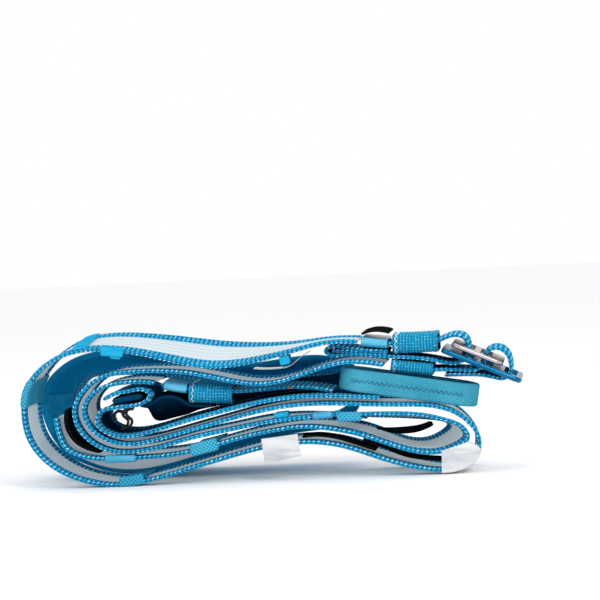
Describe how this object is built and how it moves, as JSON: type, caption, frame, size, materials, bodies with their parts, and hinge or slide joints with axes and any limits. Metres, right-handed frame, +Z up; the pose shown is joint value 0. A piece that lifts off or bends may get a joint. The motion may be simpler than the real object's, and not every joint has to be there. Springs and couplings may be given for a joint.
{
  "type": "folded webbing sit harness",
  "caption": "Lightweight webbing sit harness folded into a flat coiled bundle, with a two-plate waist buckle, belay loop, elastic keepers and sewn labels.",
  "frame": {"origin": "centre of the underside of the bundle's box, on the surface it lies on", "axes": "+X along the bundle towards the waist buckle, +Y from the front strap edges to the back, +Z up"},
  "size_m": [0.2329, 0.0838, 0.0698],
  "materials": {
    "edge_webbing": "braided polyamide webbing with pale glinting threads",
    "mesh_panel": "open grey mesh with dotted rows",
    "ribbed_webbing": "dark ribbed webbing",
    "smooth_patch": "bright smooth woven tape",
    "sleeve": "smooth coated sleeve",
    "elastic": "ribbed elastic band",
    "black_strap": "thin black webbing",
    "black_elastic": "black braided elastic",
    "patch": "crosshatched reinforcement",
    "label": "white satin label without print",
    "frame_metal": "blue anodised",
    "slider_metal": "pale satin anodised",
    "loop_webbing": "tight diamond twill webbing",
    "hook_plastic": "moulded black plastic",
    "film": "clear edge film",
    "wear_thread": "red wear thread"
  },
  "bodies": {
    "bundle": {"adjuster_strap": "edge_webbing", "buckle_strap": "edge_webbing", "care_label_side": "label", "cross_strap_front": "black_strap", "cross_strap_rear": "black_strap", "edge_film": "film", "fold_lining": "ribbed_webbing", "gear_elastic": "black_elastic", "inner_loop_edge_front": "edge_webbing", "inner_loop_edge_rear": "edge_webbing", "inner_loop_panel": "ribbed_webbing", "inner_sleeve": "sleeve", "leg_loop_edge_front": "edge_webbing", "leg_loop_edge_rear": "edge_webbing", "leg_loop_panel": "mesh_panel", "leg_strap": "edge_webbing", "lining_patch": "smooth_patch", "lining_strap": "ribbed_webbing", "lower_riser": "black_strap", "lower_sleeve": "sleeve", "lumbar_mesh": "mesh_panel", "patch_bottom": "patch", "patch_lower_leg": "patch", "patch_side": "patch", "patch_upper_leg": "patch", "rear_keeper": "elastic", "rear_loop_edge": "edge_webbing", "rear_loop_webbing": "ribbed_webbing", "tab_middle": "smooth_patch", "tab_ring": "smooth_patch", "tab_shoulder": "smooth_patch", "tab_tack": "smooth_patch", "tab_top": "smooth_patch", "tab_wrap": "smooth_patch", "tucked_tail": "black_strap", "upper_riser": "black_strap", "upper_sleeve": "sleeve", "waist_belt_edge_front": "edge_webbing", "waist_belt_edge_rear": "edge_webbing", "waist_belt_panel": "mesh_panel", "waist_keeper": "elastic", "waist_sleeve": "sleeve", "wear_thread": "wear_thread"},
    "buckle": {"buckle_frame": "frame_metal"},
    "slider": {"buckle_slider": "slider_metal"},
    "belay_loop": {"belay_loop": "loop_webbing"},
    "hook": {"riser_hook": "hook_plastic"},
    "front_label": {"care_label_front": "label"},
    "leg_keeper": {"leg_keeper": "elastic"}
  },
  "joints": [
    {"name": "buckle_tilt", "type": "hinge", "parent": "bundle", "child": "buckle", "pos_m": [0.0945, -0.0177, 0.0492], "axis": [0, 1, 0], "range_deg": [-4, 2]},
    {"name": "slider_lift", "type": "hinge", "parent": "buckle", "child": "slider", "pos_m": [0.0975, -0.0177, 0.0522], "axis": [0, 1, 0], "range_deg": [-3, 3]},
    {"name": "belay_loop_swing", "type": "hinge", "parent": "bundle", "child": "belay_loop", "pos_m": [0.0425, -0.0262, 0.0435], "axis": [0.1736, 0, 0.9848], "range_deg": [-5, 5]},
    {"name": "hook_swing", "type": "hinge", "parent": "bundle", "child": "hook", "pos_m": [-0.0682, -0.0253, 0.0321], "axis": [0, 1, 0], "range_deg": [-12, 12]},
    {"name": "front_label_swing", "type": "hinge", "parent": "bundle", "child": "front_label", "pos_m": [0.0031, -0.0402, 0.0212], "axis": [1, 0, 0], "range_deg": [-35, 0]},
    {"name": "leg_keeper_slide", "type": "slide", "parent": "bundle", "child": "leg_keeper", "axis": [0.9982, 0, -0.06], "range_m": [-0.001, 0.003]}
  ]
}
